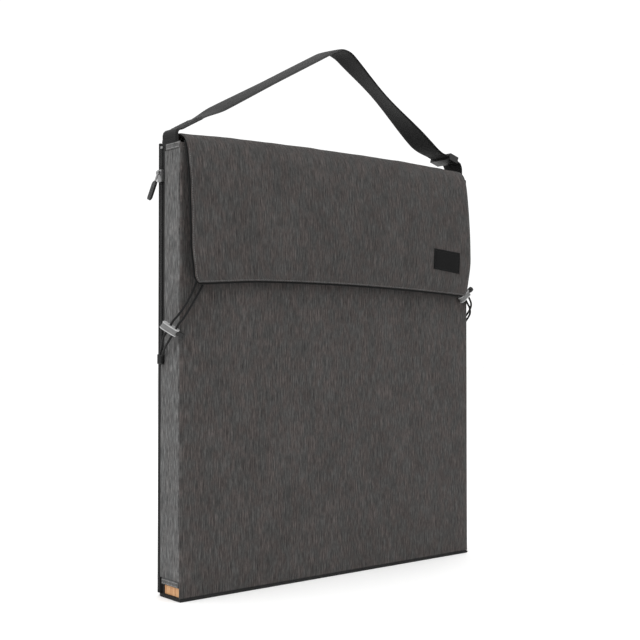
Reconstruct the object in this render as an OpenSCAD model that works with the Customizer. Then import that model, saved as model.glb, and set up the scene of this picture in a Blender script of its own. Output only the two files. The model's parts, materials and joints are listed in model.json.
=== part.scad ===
// Portfolio case: a tall flat fabric case for drawing boards, with a cover flap,
// a webbing carry strap, a zipped back pocket and two elastic flap cords.
// Origin at the centre of the base's underside, front face towards -Y, +Z up.

/* [Case] */
// Width across the two side gussets
case_w = 530; // [500:5:560]
// Height from the ground to the ridge of the flap
case_h = 600; // [590:5:640]
// Depth from the front panel to the back pocket
case_t = 55; // [55:1:60]
// Thickness of the padded front panel
front_t = 4.5; // [3:0.5:5]
// Thickness of the side gussets
gusset_t = 3; // [2:0.5:3]
// Thickness of the base panel
base_t = 4; // [3:0.5:6]
// Height of the bare corner below each gusset's hem
window_h = 13; // [8:1:20]

/* [Boards] */
// Thickness of one wooden board
board_t = 12; // [9:0.5:12]
// How many boards the case carries
board_count = 3; // [3]

/* [Flap] */
// Length of the flap's drop below the ridge
flap_drop = 196; // [180:2:200]
// Radius of the flap's lower corners
flap_corner_r = 18; // [8:1:30]
// Thickness of the flap's outer cloth with its padding
flap_cloth_t = 2.4; // [1.5:0.1:3]
// Thickness of the flap's lining
lining_t = 1.6; // [1:0.1:2]

/* [Strap] */
// Width of the webbing
strap_w = 38; // [30:1:38]
// Thickness of the webbing
strap_t = 2.4; // [1.5:0.1:3]
// Height of the strap's crown above the ridge
strap_rise = 160; // [120:5:180]

/* [Zip] */
// Height of the zip's lower end
zip_z0 = 315; // [300:5:340]
// Height of the zip's slider
zip_slider_z = 546; // [500:1:555]
// Lean of the hanging zip pull away from the case
pull_lean = 20; // [18:1:30]

/* [Cords] */
// Diameter of the elastic cord
cord_d = 3; // [2.5:0.1:3]
// Length of a cord lock's body
lock_l = 24; // [22:1:24]

/* [Hidden] */
$fn = 48;

CLOTH = [0.30, 0.29, 0.28];
SIDE_CLOTH = [0.42, 0.42, 0.41];
BLACK_CLOTH = [0.16, 0.16, 0.16];
WEBBING = [0.10, 0.10, 0.11];
WOOD = [0.80, 0.66, 0.48];
GREY_PLASTIC = [0.50, 0.50, 0.50];
BLACK_PLASTIC = [0.08, 0.08, 0.08];
METAL = [0.70, 0.70, 0.72];

half_w = case_w / 2;
inner_x = half_w - gusset_t;
front_y = -case_t / 2;
back_y = case_t / 2;
gap = 0.3;
front_in_y = front_y + front_t;
stiffener_t = 1.5;
stiffener_in_y = front_in_y + stiffener_t;
board_pitch = board_t + 0.4;
board_y0 = stiffener_in_y + 0.3;
divider_t = 3;
divider_y = 16.2;
pocket_y = 22.5;
gusset_top_z = case_h - 13;
gusset_back_y = 17;
edge_y = 24;
zip_front_y = 9.5;
hem_h = 8;
hem_z = base_t + window_h;
top_hem_h = 9;
zip_y = 18.5;
zip_top_z = gusset_top_z - 2;
tape_t = 0.8;
tape_x = -half_w + 0.6;
coil_w = 4.8;
coil_t = 1.8;
fold_y = -22;
flap_half_w = inner_x;
flap_z0 = case_h - flap_drop;
lock_hole_r = 1.9;
lock_bore_r = 3.2;
lock_travel = 3;
lock_holes = [-2, 6];
left_lock_at = [-279, -25, 346];
left_lock_turn = [16, 32, -39];
right_lock_at = [254, -32.8, 402];
right_lock_turn = [0, -36.87, 0];
left_peg = [-238, 411];
right_peg = [240, 424];
peg_r = 2.5;
loop_r = 5.2;

// The strap's left foot, crown, right knee and right foot, in the XZ plane
left_foot = [-250, case_h + 8.5];
strap_crown = [19, case_h + strap_rise];
right_knee = [205, case_h + 29];
right_foot = [256, case_h + 14];
strap_left_x = -222;
strap_right_x = 228;

// Points of the elastic cords, from the back seam over the lock to the peg and back again
left_cord_up = [[-268, 17, 313], [-271.5, 9, 319.5], [-277, -2, 326.5], [-282, -12, 333],
    [-283.2, -17.6, 337.5], [-280.3, -23.9, 347.1], [-277.6, -30.3, 356.9],
    [-273, -33, 363], [-265, -34.2, 373], [-254, -33.6, 389], [-247, -33, 402]];
left_cord_down = [[-237, -33, 400], [-247, -33.8, 385], [-258, -35, 370], [-266.5, -35.5, 359],
    [-272.3, -34.6, 352.6], [-275, -28.2, 342.8], [-277.7, -21.8, 333],
    [-276.5, -13, 327], [-273, -1, 320], [-269.5, 8, 314], [-268, 13, 309.5]];
right_cord_up = [[268, 13, 321.5], [269, 5, 336], [271, -6, 350], [272.5, -18, 363], [271, -28, 374],
    [266, -32.2, 383], [259.6, -32.8, 391.2], [252.4, -32.8, 400.8], [245.2, -32.8, 410.4]];
right_cord_down = [[251.6, -32.8, 415.2], [258.8, -32.8, 405.6], [266, -32.8, 396],
    [270.8, -31, 389], [274.2, -25, 381], [274.6, -14, 369], [272, -1, 354], [269.3, 9, 339],
    [268, 17, 325]];

// ---- Functions ----------------------------------------------------------------

function unit(v) = v / norm(v);
function bend(a, b, c, t) = (1 - t) * (1 - t) * a + 2 * t * (1 - t) * b + t * t * c;
function last(v) = len(v) - 1;

// Direction of a flat or spatial path at point i
function heading(path, i) = unit(path[min(i + 1, last(path))] - path[max(i - 1, 0)]);

// A flat path moved sideways by d, to the left of its direction
function sidestep(path, d) =
    [for (i = [0 : last(path)]) let (h = heading(path, i)) path[i] + d * [-h[1], h[0]]];

function backwards(v) = [for (i = [last(v) : -1 : 0]) v[i]];

// Outline of a strip between two sideways distances from a flat path
function strip(path, d0, d1) = concat(sidestep(path, d0), backwards(sidestep(path, d1)));

// The flap's outer skin in the YZ plane, from the fold line down to the lower edge
function flap_skin() = concat(
    [for (t = [0 : 0.2 : 0.99]) bend([fold_y, case_h], [-32, case_h - 5], [-37, case_h - 28], t)],
    [for (t = [0 : 0.1 : 1.01]) bend([-37, case_h - 28], [-48, case_h - 100], [-42, flap_z0], t)]);

// A half loop round a peg, on the side that the heading points to
function half_loop(peg, y, start, sweep) =
    [for (k = [0 : 6]) let (a = start + sweep * k / 6)
        [peg[0] + loop_r * cos(a), y, peg[1] + loop_r * sin(a)]];

// One ring of a round tube, square to the path; the path never runs along level
function ring(path, i, r, sides, level) =
    let (h = heading(path, i), side = unit(cross(h, level)), up = cross(side, h))
    [for (k = [0 : sides - 1]) path[i] + r * (cos(360 * k / sides) * side + sin(360 * k / sides) * up)];

// ---- Shared shapes ------------------------------------------------------------

// Box from its lowest to its highest corner
module block(lo, hi) {
    translate(lo) cube(hi - lo);
}

// A round tube swept along a path
module tube(path, r, sides = 8, level = [0, 1, 0]) {
    n = len(path);
    points = [for (i = [0 : n - 1]) each ring(path, i, r, sides, level)];
    walls = [for (i = [0 : n - 2], k = [0 : sides - 1]) let (m = (k + 1) % sides)
        [i * sides + k, (i + 1) * sides + k, (i + 1) * sides + m, i * sides + m]];
    near_cap = [for (k = [0 : sides - 1]) k];
    far_cap = [for (k = [sides - 1 : -1 : 0]) (n - 1) * sides + k];
    polyhedron(points, concat(walls, [near_cap], [far_cap]), convexity = 4);
}

// A flat outline in the YZ plane, drawn out along X
module along_x(x0, x1) {
    translate([x0, 0, 0]) rotate([90, 0, 90]) linear_extrude(x1 - x0) children();
}

// A flat outline in the XZ plane, drawn out along Y
module along_y(y0, y1) {
    translate([0, y1, 0]) rotate([90, 0, 0]) linear_extrude(y1 - y0) children();
}

// Rectangle with round ends, l long and w wide
module stadium(l, w) {
    square([l - w, w], center = true);
    for (s = [-1, 1]) translate([s * (l - w) / 2, 0]) circle(d = w);
}

// ---- Case ---------------------------------------------------------------------

module front_panel() {
    color(CLOTH) block([-half_w, front_y, base_t], [half_w, front_in_y, case_h - 15]);
}

module front_stiffener() {
    color(BLACK_PLASTIC)
        block([-inner_x + 7, front_in_y, base_t + 2], [inner_x - 7, stiffener_in_y, case_h - 20]);
}

module divider_panel() {
    color(BLACK_CLOTH)
        block([-inner_x + 0.2, divider_y, base_t], [inner_x - 0.2, divider_y + divider_t, case_h - 12]);
}

module pocket_panel() {
    color(CLOTH) block([-inner_x, pocket_y, base_t], [inner_x, back_y, case_h - 10]);
}

module base_panel() {
    corner_r = 8;
    color(BLACK_CLOTH) linear_extrude(base_t) union() {
        translate([-half_w, front_y]) square([case_w, case_t - corner_r]);
        translate([-half_w + corner_r, front_y]) square([case_w - 2 * corner_r, case_t]);
        for (s = [-1, 1]) translate([s * (half_w - corner_r), back_y - corner_r]) circle(corner_r);
    }
}

// Side wall between the hems, reaching lower_y below the zip's foot and upper_y above it
module gusset(side, lower_y, upper_y) {
    top_z = gusset_top_z - top_hem_h;
    step = lower_y > upper_y ? [[lower_y, zip_z0], [upper_y, zip_z0]] : [];
    outline = concat([[front_in_y, hem_z + hem_h], [lower_y, hem_z + hem_h]], step,
        [[upper_y, top_z], [front_in_y, top_z]]);
    x = side < 0 ? -half_w : inner_x;
    color(SIDE_CLOTH) along_x(x, x + gusset_t) polygon(outline);
}

module hem(side, z, y1, h) {
    thick = 0.4;
    x = side < 0 ? -half_w - thick : inner_x;
    color(SIDE_CLOTH) block([x, front_in_y, z], [x + gusset_t + thick, y1, z + h]);
}

module back_edge(side, z1) {
    x = side < 0 ? -half_w : inner_x;
    color(BLACK_CLOTH) block([x, edge_y, base_t], [x + gusset_t, back_y, z1]);
}

module lower_edge() {
    color(BLACK_CLOTH) block([-half_w, gusset_back_y, base_t], [-inner_x, edge_y, zip_z0]);
}

// Cloth over the mouth, from the back panel's top to the fold of the flap
module top_strip() {
    top_t = 3;
    path = concat(
        [[back_y, case_h - 10]],
        [for (t = [0 : 0.25 : 1]) bend([back_y, case_h - 8], [back_y - 1, case_h - 1], [18, case_h], t)],
        [[fold_y + gap, case_h]]);
    color(CLOTH) along_x(-flap_half_w, flap_half_w) polygon(strip(path, 0, top_t));
}

module board(k) {
    y = board_y0 + k * board_pitch;
    color(WOOD) block([-inner_x + 1, y, base_t], [inner_x - 1, y + board_t, case_h - 20]);
}

// ---- Zip ----------------------------------------------------------------------

module zip_tape(y0, y1) {
    color(BLACK_CLOTH) block([tape_x, y0, zip_z0], [tape_x + tape_t, y1, gusset_top_z]);
}

module zip_coil() {
    coil_half = coil_w / 2 - 0.1;
    color(BLACK_PLASTIC) for (s = [-1, 1])
        block([tape_x - coil_t, zip_y - coil_half / 2 + s * (coil_half / 2 + 0.1), zip_z0 + 4],
            [tape_x, zip_y + coil_half / 2 + s * (coil_half / 2 + 0.1), zip_top_z - 3]);
}

module zip_stops() {
    color(METAL) for (z = [zip_z0 + 1, zip_top_z - 3])
        block([tape_x - coil_t, zip_y - coil_w / 2, z], [tape_x, zip_y + coil_w / 2, z + 3]);
}

pull_pin_x = tape_x - coil_t - 4.8;
pull_pin_z = zip_slider_z + 4;
pull_pin_r = 0.7;

module zip_slider() {
    plate_x = tape_x - coil_t - 1;
    color(METAL) {
        block([plate_x - 2, zip_y - 5, zip_slider_z - 8], [plate_x, zip_y + 5, zip_slider_z + 8]);
        for (s = [-1, 1]) {
            block([plate_x, zip_y + s * 4 - 1, zip_slider_z - 8],
                [tape_x - 0.4, zip_y + s * 4 + 1, zip_slider_z + 8]);
            block([pull_pin_x - 1.2, zip_y + s * 2.6 - 0.6, pull_pin_z - 2],
                [plate_x - 2, zip_y + s * 2.6 + 0.6, pull_pin_z + 2]);
        }
        translate([pull_pin_x, zip_y, pull_pin_z]) rotate([90, 0, 0])
            cylinder(r = pull_pin_r, h = 6.4, center = true);
    }
}

// Places what hangs from the slider's pin at the pull's lean
module on_pull() {
    translate([pull_pin_x, zip_y, pull_pin_z]) rotate([0, pull_lean, 0]) children();
}

module zip_pull() {
    color(METAL) on_pull() rotate([90, 0, 0]) difference() {
        union() {
            cylinder(r = 1.6, h = 3.4, center = true);
            translate([-0.7, -15, -1.7]) cube([1.4, 15, 3.4]);
        }
        cylinder(r = pull_pin_r + 0.05, h = 8, center = true);
    }
}

// Moulded finger tab over the pull's lower end
module pull_tab() {
    tab_w = 9;
    color(BLACK_PLASTIC) on_pull() rotate([90, 0, 90]) translate([0, 0, -1.5]) difference() {
        linear_extrude(3) translate([0, -25.5]) rotate(90) stadium(27, tab_w);
        translate([-1.7, -15, 0.8]) cube([3.4, 6, 1.4]);
    }
}

// ---- Flap ---------------------------------------------------------------------

// Front outline of the flap, with its lower corners rounded
module flap_front() {
    r = flap_corner_r;
    for (s = [-1, 1]) translate([s * (flap_half_w - r), flap_z0 + r]) circle(r);
    translate([-flap_half_w + r, flap_z0]) square([2 * (flap_half_w - r), flap_drop + 5]);
    translate([-flap_half_w, flap_z0 + r]) square([2 * flap_half_w, flap_drop + 5 - r]);
}

// A layer of the flap between two depths under its outer skin
module flap_layer(d0, d1) {
    intersection() {
        along_x(-flap_half_w, flap_half_w) intersection() {
            polygon(strip(flap_skin(), d0, d1));
            translate([fold_y - 100, flap_z0 - 20]) square([100, flap_drop + 30]);
        }
        along_y(-60, 0) flap_front();
    }
}

module flap_panel() {
    color(CLOTH) flap_layer(0, flap_cloth_t);
}

module flap_lining() {
    color(BLACK_CLOTH) flap_layer(flap_cloth_t, flap_cloth_t + lining_t);
}

module label_patch() {
    patch = [56, 32];
    centre = [202, case_h - 143];
    color([0.08, 0.08, 0.08]) intersection() {
        along_x(centre[0] - patch[0] / 2, centre[0] + patch[0] / 2) polygon(strip(flap_skin(), -1.2, 0));
        along_y(-60, 0) translate(centre) square(patch, center = true);
    }
}

// Peg that a cord loop hooks over, on a plate sunk into the lining as far as sunk_y
module flap_peg(at, sunk_y) {
    half = 7.2;
    plate_y = -37.6;
    tip_y = front_y - 1.5;
    color(BLACK_PLASTIC) {
        block([at[0] - half, sunk_y, at[1] - half], [at[0] + half, plate_y, at[1] + half]);
        translate([at[0], plate_y, at[1]]) rotate([-90, 0, 0]) cylinder(r = peg_r, h = tip_y - plate_y);
    }
}

// ---- Strap --------------------------------------------------------------------

anchor_t = strap_t + 1.2;
anchor_x = inner_x + 0.2 + anchor_t / 2;

// The point above x on the straight line from a to b
function along(a, b, x) = a + (b - a) * (x - a[0]) / (b[0] - a[0]);
function left_leg(x) = along(left_foot, strap_crown, x);
function right_leg(x) = along(strap_crown, right_knee, x);
function right_shin(x) = along(right_knee, right_foot, x);

// Doubled webbing sewn into the gusset's top hem, turning in over it and cut square at end_x
module strap_anchor(path, end_x) {
    color(WEBBING) intersection() {
        along_y(-strap_w / 2, strap_w / 2) polygon(strip(path, -anchor_t / 2, anchor_t / 2));
        block([min(end_x, sign(end_x) * case_w), -strap_w, 0],
            [max(end_x, sign(end_x) * case_w), strap_w, case_h + strap_rise]);
    }
}

module left_strap_anchor() {
    turn = left_leg(-256);
    strap_anchor(concat([[-anchor_x, gusset_top_z], [-anchor_x, case_h - 4]],
        [for (t = [0.25 : 0.25 : 1]) bend([-anchor_x, case_h - 2], [-anchor_x, turn[1] - 1], turn, t)],
        [left_leg(strap_left_x + 4)]), strap_left_x - gap);
}

module right_strap_anchor() {
    turn = right_shin(256);
    strap_anchor(concat([[anchor_x, gusset_top_z], [anchor_x, case_h - 4]],
        [for (t = [0.25 : 0.25 : 1]) bend([anchor_x, case_h - 2], [anchor_x, turn[1] - 1], turn, t)],
        [right_shin(strap_right_x - 4)]), strap_right_x + gap);
}

// Ladder buckle round the foot of the right leg
module strap_buckle() {
    ring_t = 3;
    at = right_shin(243);
    slope = atan2(right_knee[1] - right_foot[1], right_knee[0] - right_foot[0]);
    inner_h = anchor_t + 0.6;
    color(BLACK_PLASTIC) translate([at[0], 0, at[1]]) rotate([0, -slope, 0]) difference() {
        cube([18, strap_w + 5, inner_h + 2 * ring_t], center = true);
        cube([30, strap_w + 0.6, inner_h], center = true);
        for (s = [-1, 1]) translate([s * 4.5, 0, -ring_t]) cube([4, strap_w, 2 * ring_t], center = true);
    }
}

module strap_webbing() {
    path = concat(
        [left_leg(strap_left_x - 4)],
        [for (t = [0 : 0.125 : 1]) bend(left_leg(-6), strap_crown + [0, 2], right_leg(42), t)],
        [for (t = [0 : 0.25 : 1]) bend(right_leg(185), right_knee, right_shin(224), t)],
        [right_shin(strap_right_x + 4)]);
    color(WEBBING) intersection() {
        along_y(-strap_w / 2, strap_w / 2) polygon(strip(path, -strap_t / 2, strap_t / 2));
        block([strap_left_x, -strap_w, case_h], [strap_right_x, strap_w, case_h + 2 * strap_rise]);
    }
}

// ---- Cords and locks ----------------------------------------------------------

module cord_anchor(side, z) {
    x = side < 0 ? -half_w - 5.2 : half_w + 0.2;
    color(WEBBING) block([x, 10, z], [x + 5, 22, z + 13]);
}

module left_cord() {
    color(WEBBING)
        tube(concat(left_cord_up, half_loop(left_peg, -33, 143, -180), left_cord_down), cord_d / 2);
}

module right_cord() {
    color(WEBBING)
        tube(concat(right_cord_up, half_loop(right_peg, -32.8, 217, -180), right_cord_down), cord_d / 2);
}

// Two-hole cord lock; its own X runs towards the button and its Z along the cords
module lock_body() {
    lock_w = 8.4;
    lock_h = 9;
    middle = -1;
    color(GREY_PLASTIC) difference() {
        union() {
            translate([middle, 0, -lock_h / 2]) linear_extrude(lock_h) stadium(lock_l - 1, lock_w);
            for (z = [-lock_h / 2, lock_h / 2 - 1.2])
                translate([middle, 0, z]) linear_extrude(1.2) stadium(lock_l, lock_w + 1);
        }
        translate([-11, 0, 0]) rotate([0, 90, 0]) cylinder(r = lock_bore_r, h = 30);
        for (x = lock_holes) translate([x, 0, -10]) cylinder(r = lock_hole_r, h = 20);
    }
}

module lock_button() {
    stem_x0 = -6;
    stem_x1 = 14.5;
    slot_x0 = lock_holes[0] - lock_hole_r;
    slot_x1 = lock_holes[1] + lock_hole_r + lock_travel;
    color(BLACK_PLASTIC) difference() {
        union() {
            translate([stem_x0, 0, 0]) rotate([0, 90, 0])
                cylinder(r = lock_bore_r - 0.05, h = stem_x1 - stem_x0);
            translate([stem_x1, 0, 0]) rotate([0, 90, 0]) cylinder(r = 4, h = 4.5);
        }
        block([slot_x0, -lock_hole_r, -10], [slot_x1, lock_hole_r, 10]);
    }
}

module lock_spring() {
    turns = 3;
    spring_r = 2.3;
    wire_r = 0.3;
    x0 = -10.6;
    x1 = -6.4;
    steps = 12 * turns;
    path = [for (k = [0 : steps]) [x0 + (x1 - x0) * k / steps,
        spring_r * cos(360 * turns * k / steps), spring_r * sin(360 * turns * k / steps)]];
    color(METAL) tube(path, wire_r, 6, [1, 0, 0]);
}

module at_left_lock() {
    translate(left_lock_at) rotate(left_lock_turn) children();
}

module at_right_lock() {
    translate(right_lock_at) rotate(right_lock_turn) children();
}

front_panel();
front_stiffener();
divider_panel();
pocket_panel();
base_panel();
gusset(-1, gusset_back_y, zip_front_y);  // left_gusset
gusset(1, edge_y, edge_y);  // right_gusset
hem(-1, hem_z, gusset_back_y, hem_h);  // left_gusset_hem
hem(1, hem_z, edge_y, hem_h);  // right_gusset_hem
hem(-1, gusset_top_z - top_hem_h, zip_front_y, top_hem_h);  // left_top_hem
hem(1, gusset_top_z - top_hem_h, edge_y, top_hem_h);  // right_top_hem
back_edge(-1, case_h - 10);  // left_back_edge
back_edge(1, case_h - 10);  // right_back_edge
lower_edge();  // left_lower_edge
top_strip();
zip_tape(zip_front_y, zip_y - 0.3);  // zip_tape_front
zip_tape(zip_y + 0.3, edge_y);  // zip_tape_back
zip_coil();
zip_stops();
zip_slider();
zip_pull();
pull_tab();
board(0);  // front_board
board(1);  // middle_board
board(2);  // back_board
flap_panel();
flap_lining();
label_patch();
flap_peg(left_peg, -39.4);  // left_flap_peg
flap_peg(right_peg, -39.8);  // right_flap_peg
left_strap_anchor();
right_strap_anchor();
strap_buckle();
strap_webbing();
cord_anchor(-1, 301);  // left_cord_anchor
cord_anchor(1, 318);  // right_cord_anchor
left_cord();
right_cord();
at_left_lock() lock_body();  // left_lock_body
at_left_lock() lock_button();  // left_lock_button
at_left_lock() lock_spring();  // left_lock_spring
at_right_lock() lock_body();  // right_lock_body
at_right_lock() lock_button();  // right_lock_button
at_right_lock() lock_spring();  // right_lock_spring
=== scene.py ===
"""Looks of the portfolio case: cloth shell, boards, flap, carry strap, zip and flap cords.

Lengths are metres in the frame's own axes: the front face looks towards -Y and +Z is up.
"""

import json
import logging
import math
from dataclasses import dataclass
from enum import Enum
from typing import Callable, Sequence

import bmesh
import bpy
from mathutils import Matrix, Vector, noise


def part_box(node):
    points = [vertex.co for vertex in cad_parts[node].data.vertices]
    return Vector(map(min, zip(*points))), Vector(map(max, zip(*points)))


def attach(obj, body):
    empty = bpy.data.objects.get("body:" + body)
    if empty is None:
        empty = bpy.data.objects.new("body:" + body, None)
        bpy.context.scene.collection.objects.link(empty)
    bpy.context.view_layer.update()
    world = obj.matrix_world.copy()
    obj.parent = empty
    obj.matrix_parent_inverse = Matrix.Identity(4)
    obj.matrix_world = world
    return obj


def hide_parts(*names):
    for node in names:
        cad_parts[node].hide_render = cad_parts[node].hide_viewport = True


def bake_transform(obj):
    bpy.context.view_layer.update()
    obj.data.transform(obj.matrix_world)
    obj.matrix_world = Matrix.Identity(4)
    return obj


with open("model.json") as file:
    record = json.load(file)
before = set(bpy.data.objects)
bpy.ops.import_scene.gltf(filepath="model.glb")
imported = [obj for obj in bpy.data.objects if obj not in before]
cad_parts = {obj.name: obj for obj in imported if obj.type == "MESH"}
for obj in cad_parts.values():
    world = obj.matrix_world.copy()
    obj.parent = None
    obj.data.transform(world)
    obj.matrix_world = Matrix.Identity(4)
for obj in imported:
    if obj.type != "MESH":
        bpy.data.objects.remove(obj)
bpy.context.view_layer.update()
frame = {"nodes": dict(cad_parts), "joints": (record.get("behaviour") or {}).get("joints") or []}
LOG = logging.getLogger("portfolio_case")

Pair = tuple[float, float]
Colour = tuple[float, float, float]
Placing = Callable[[float, float], tuple[Vector, Vector]]
Corners = Sequence[Sequence[Pair]]
Stitches = list[list[Vector]]

CASE, FLAP, STRAP, SLIDER, PULL = "case", "flap", "strap", "zip_slider", "zip_pull"


class Axis(Enum):
    """An axis of the frame, as its place in a vector."""

    X = 0
    Y = 1
    Z = 2


class Pattern(Enum):
    """What a cloth's pattern follows."""

    FRAME = "Object"
    CLOTH = "UV"


# ---- Small sums ---------------------------------------------------------------------


def linear(shade: int, tint: Colour = (1.0, 1.0, 1.0)) -> Colour:
    """Linear colour of a screen grey from 0 to 255, with a tint on each channel."""
    value = shade / 255
    level = value / 12.92 if value < 0.04045 else ((value + 0.055) / 1.055) ** 2.4
    return (level * tint[0], level * tint[1], level * tint[2])


def toned(colour: Colour, share: float) -> Colour:
    """A colour made darker, or lighter where the share is over 1."""
    return (colour[0] * share, colour[1] * share, colour[2] * share)


def ease(t: float) -> float:
    """Smooth step of t from 0 to 1, held at both ends."""
    t = min(max(t, 0.0), 1.0)
    return t * t * (3 - 2 * t)


def lerp(a: float, b: float, t: float) -> float:
    """The value that is t of the way from a to b."""
    return a + (b - a) * t


def steps(low: float, high: float, rim: float, pitch: float) -> list[float]:
    """Places along one side of a padded sheet, close together where its rim turns.

    Args:
        low: the first place.
        high: the last place.
        rim: how far in from each end the rim is still turning.
        pitch: the distance between places in the middle.

    Returns:
        The places in rising order, the ends included.
    """
    turn = [rim * (1 - math.cos(math.radians(a))) for a in (0, 18, 36, 54, 72, 90)]
    inner = high - low - 2 * rim
    count = max(2, round(inner / pitch))
    middle = [low + rim + inner * k / count for k in range(1, count)]
    return [low + t for t in turn] + middle + [high - t for t in reversed(turn)]


def rim_height(distance: float, rim: float) -> float:
    """Share of its full thickness that a padded sheet has at a distance in from its rim."""
    if distance >= rim:
        return 1.0
    return math.sqrt(max(0.0, 1 - (1 - distance / rim) ** 2))


def wander(point: Vector, size: float, seed: float = 0.0) -> float:
    """Smooth wandering value from -1 to 1 that changes over a distance of about size."""
    return noise.noise(point / size + Vector((seed, 2 * seed, -seed)))


def smooth_path(points: Sequence[Vector], pitch: float) -> list[Vector]:
    """Curve through every point, sampled about every pitch.

    Args:
        points: the points of the route.
        pitch: the distance between samples.

    Returns:
        The samples, the first and last points included.
    """
    ends = [2 * points[0] - points[1], *points, 2 * points[-1] - points[-2]]
    path: list[Vector] = []
    for a, b, c, d in zip(ends, ends[1:], ends[2:], ends[3:]):
        count = max(1, round((c - b).length / pitch))
        for k in range(count):
            t = k / count
            path.append(
                0.5 * ((2 * b) + (c - a) * t + (2 * a - 5 * b + 4 * c - d) * t * t
                       + (3 * b - a - 3 * c + d) * t ** 3)
            )
    return [*path, Vector(points[-1])]


def run_of(path: Sequence[Vector]) -> list[float]:
    """Distance from the start of a path to each of its points."""
    run = [0.0]
    for a, b in zip(path, path[1:]):
        run.append(run[-1] + (b - a).length)
    return run


def straight_runs(corners: Sequence[Vector], pitch: float) -> list[Vector]:
    """Straight runs between corners, with points about every pitch."""
    line: list[Vector] = []
    for a, b in zip(corners, corners[1:]):
        count = max(1, round((b - a).length / pitch))
        line += [a.lerp(b, k / count) for k in range(count)]
    return [*line, corners[-1]]


def bend(a: Vector, b: Vector, c: Vector, count: int) -> list[Vector]:
    """Points of the curve from a to c that leaves a towards b and reaches c from b."""
    return [a.lerp(b, t).lerp(b.lerp(c, t), t) for t in (k / count for k in range(count + 1))]


# ---- Meshes -------------------------------------------------------------------------


def mesh_object(
    name: str, points: Sequence[Vector], faces: Sequence[Sequence[int]], uvs: Corners
) -> bpy.types.Object:
    """A smooth mesh object at the origin, its faces pointing outwards.

    Args:
        name: the name of the piece.
        points: its vertices.
        faces: its faces, as places in points.
        uvs: for each face, the pattern's place at each corner, in metres.

    Returns:
        The new object, linked to the scene.
    """
    shape = bmesh.new()
    corners = [shape.verts.new(p) for p in points]
    layer = shape.loops.layers.uv.new("Cloth")
    for face, places in zip(faces, uvs):
        new = shape.faces.new([corners[i] for i in face])
        new.smooth = True
        for loop, place in zip(new.loops, places):
            loop[layer].uv = place
    bmesh.ops.recalc_face_normals(shape, faces=shape.faces)
    mesh = bpy.data.meshes.new(name)
    shape.to_mesh(mesh)
    shape.free()
    piece = bpy.data.objects.new(name, mesh)
    bpy.context.collection.objects.link(piece)
    return piece


def padded_sheet(
    name: str, us: Sequence[float], vs: Sequence[float], place: Placing,
    skins: Callable[[float, float], Pair]
) -> bpy.types.Object:
    """A closed sheet with a thickness, its two skins sewn together all round the rim.

    Args:
        name: the name of the piece.
        us: places across it, which are also its pattern's.
        vs: places along it, which are also its pattern's.
        place: gives the point and the outward normal at a place.
        skins: gives how far the outer and the inner skin stand from that point.

    Returns:
        The new object.
    """
    points: list[Vector] = []
    outer: list[list[int]] = []
    inner: list[list[int]] = []
    for j, v in enumerate(vs):
        outer.append([])
        inner.append([])
        for i, u in enumerate(us):
            point, normal = place(u, v)
            on_rim = i in (0, len(us) - 1) or j in (0, len(vs) - 1)
            out, into = (0.0, 0.0) if on_rim else skins(u, v)
            outer[j].append(len(points))
            points.append(point + normal * out)
            if not on_rim:
                points.append(point - normal * into)
            inner[j].append(len(points) - 1)
    faces, uvs = [], []
    for j in range(len(vs) - 1):
        for i in range(len(us) - 1):
            ring = [(i, j), (i + 1, j), (i + 1, j + 1), (i, j + 1)]
            for skin, order in ((outer, ring), (inner, ring[::-1])):
                faces.append([skin[b][a] for a, b in order])
                uvs.append([(us[a], vs[b]) for a, b in order])
    return mesh_object(name, points, faces, uvs)


def padded_box(
    name: str, low: Vector, high: Vector, axis: Axis, rim: float, pitch: float,
    swell: float = 0.0, limits: Callable[[float], Pair] | None = None, front: int = -1
) -> bpy.types.Object:
    """A padded panel that fills a box, thin along one axis.

    Args:
        name: the name of the piece.
        low: the box's lowest corner.
        high: the box's highest corner.
        axis: the axis of its thickness.
        rim: the radius over which its rim turns.
        pitch: the distance between its points in the middle.
        swell: how far its outer skin wanders in and out.
        limits: the ends of a row across it at a height, where its outline isn't a rectangle.
        front: the sign of the axis on its outer side.

    Returns:
        The new object.
    """
    thin = axis.value
    across, along = [a for a in range(3) if a != thin]
    half = (high[thin] - low[thin]) / 2
    span = high[across] - low[across]
    normal = Vector((0, 0, 0))
    normal[thin] = front

    def place(u: float, v: float) -> tuple[Vector, Vector]:
        """The panel's middle at a place, and its outward normal."""
        start, end = limits(v) if limits else (low[across], high[across])
        point = Vector((0, 0, 0))
        point[thin] = low[thin] + half
        point[across] = lerp(start, end, (u - low[across]) / span)
        point[along] = v
        return point, normal

    def skins(u: float, v: float) -> Pair:
        """How far the two skins stand from the middle."""
        inside = min(u - low[across], high[across] - u, v - low[along], high[along] - v)
        height = half * rim_height(inside, rim)
        point, _ = place(u, v)
        calm = ease(inside / 0.05)
        wave = wander(point, 0.13, low[thin] * 90) + 0.35 * wander(point, 0.045, 4.0)
        return height + swell * calm * wave, height

    return padded_sheet(
        name, steps(low[across], high[across], rim, pitch),
        steps(low[along], high[along], rim, pitch), place, skins
    )


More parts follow.
